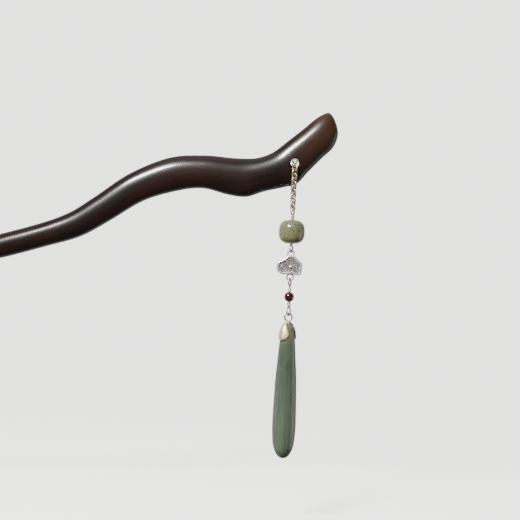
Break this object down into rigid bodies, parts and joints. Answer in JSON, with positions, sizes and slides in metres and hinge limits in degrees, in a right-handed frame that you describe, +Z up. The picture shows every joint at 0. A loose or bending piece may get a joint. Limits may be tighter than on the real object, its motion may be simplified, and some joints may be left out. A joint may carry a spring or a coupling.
{
  "type": "hair stick with hanging tassel",
  "caption": "Wavy polished wooden hair stick with a chain looped through its head, carrying a jade bead, a cloud-shaped silver connector, a garnet bead and a jade drop.",
  "frame": {"origin": "on the axis of the straight shaft, at the middle of its cylindrical grip", "axes": "+X along the straight shaft towards the head, +Z up towards the crown of the wave, so that the tassel hangs along -Z, Y through the depth of the stick"},
  "size_m": [0.1779, 0.0106, 0.1042],
  "materials": {
    "wood": "dark reddish-brown rosewood, polished and waxed",
    "chain_silver": "polished pale champagne silver wire, darkened between the links",
    "pin_wire": "bright drawn silver wire",
    "jade_bead": "polished translucent olive-green jade",
    "cloud_silver": "cast silver, oxidised dark in its recesses",
    "garnet": "polished deep red garnet",
    "bail_silver": "bright polished silver",
    "jade_drop": "polished translucent grey-green jade"
  },
  "bodies": {
    "stick": {"wood_stick": "wood"},
    "chain_upper": {"chain_link_08": "chain_silver", "chain_link_09": "chain_silver", "chain_link_10": "chain_silver", "chain_link_11": "chain_silver", "chain_link_12": "chain_silver", "chain_link_13": "chain_silver", "chain_link_14": "chain_silver", "chain_link_15": "chain_silver", "chain_link_16": "chain_silver", "chain_link_17": "chain_silver", "chain_link_18": "chain_silver", "chain_link_19": "chain_silver", "chain_link_20": "chain_silver", "chain_link_21": "chain_silver", "chain_link_22": "chain_silver", "chain_link_23": "chain_silver"},
    "chain_middle": {"chain_link_04": "chain_silver", "chain_link_05": "chain_silver", "chain_link_06": "chain_silver", "chain_link_07": "chain_silver", "chain_link_24": "chain_silver", "chain_link_25": "chain_silver", "chain_link_26": "chain_silver", "chain_link_27": "chain_silver"},
    "chain_lower": {"chain_link_01": "chain_silver", "chain_link_02": "chain_silver", "chain_link_03": "chain_silver", "chain_link_28": "chain_silver", "chain_link_29": "chain_silver", "chain_link_30": "chain_silver"},
    "bead_pin": {"jade_bead_pin": "pin_wire"},
    "jade_barrel": {"jade_bead": "jade_bead"},
    "connector": {"cloud_connector": "cloud_silver"},
    "garnet_wire": {"garnet_pin": "pin_wire"},
    "garnet": {"garnet_bead": "garnet"},
    "bail": {"bail_ring": "bail_silver", "pinch_bail": "bail_silver"},
    "drop": {"jade_drop": "jade_drop"}
  },
  "joints": [
    {"name": "chain_swing", "type": "hinge", "parent": "stick", "child": "chain_upper", "pos_m": [0.11725, 0, 0.03182], "axis": [0, 1, 0], "range_deg": [-14, 14]},
    {"name": "chain_middle_swing", "type": "hinge", "parent": "chain_upper", "child": "chain_middle", "pos_m": [0.11725, 0, 0.02602], "axis": [0, -1, 0], "range_deg": [-18, 18]},
    {"name": "chain_lower_swing", "type": "hinge", "parent": "chain_middle", "child": "chain_lower", "pos_m": [0.11725, 0, 0.02142], "axis": [0, 1, 0], "range_deg": [-18, 18]},
    {"name": "bead_pin_swing", "type": "hinge", "parent": "chain_lower", "child": "bead_pin", "pos_m": [0.11725, 0, 0.01866], "axis": [0, -1, 0], "range_deg": [-18, 18]},
    {"name": "jade_bead_spin", "type": "hinge", "parent": "bead_pin", "child": "jade_barrel", "pos_m": [0.11725, 0, 0.01132], "axis": [0, 0, 1], "continuous": true},
    {"name": "connector_swing", "type": "hinge", "parent": "bead_pin", "child": "connector", "pos_m": [0.11725, 0, 0.0052], "axis": [0, 1, 0], "range_deg": [-25, 25]},
    {"name": "garnet_pin_swing", "type": "hinge", "parent": "connector", "child": "garnet_wire", "pos_m": [0.11725, 0, -0.00323], "axis": [1, 0, 0], "range_deg": [-30, 30]},
    {"name": "garnet_spin", "type": "hinge", "parent": "garnet_wire", "child": "garnet", "pos_m": [0.11725, 0, -0.0082], "axis": [0, 0, 1], "continuous": true},
    {"name": "bail_swing", "type": "hinge", "parent": "garnet_wire", "child": "bail", "pos_m": [0.11725, 0, -0.0138], "axis": [0, -1, 0], "range_deg": [-25, 25]},
    {"name": "drop_tilt", "type": "hinge", "parent": "bail", "child": "drop", "pos_m": [0.11725, 0, -0.0187], "axis": [0.7071, 0.7071, 0], "range_deg": [-3, 3]}
  ]
}
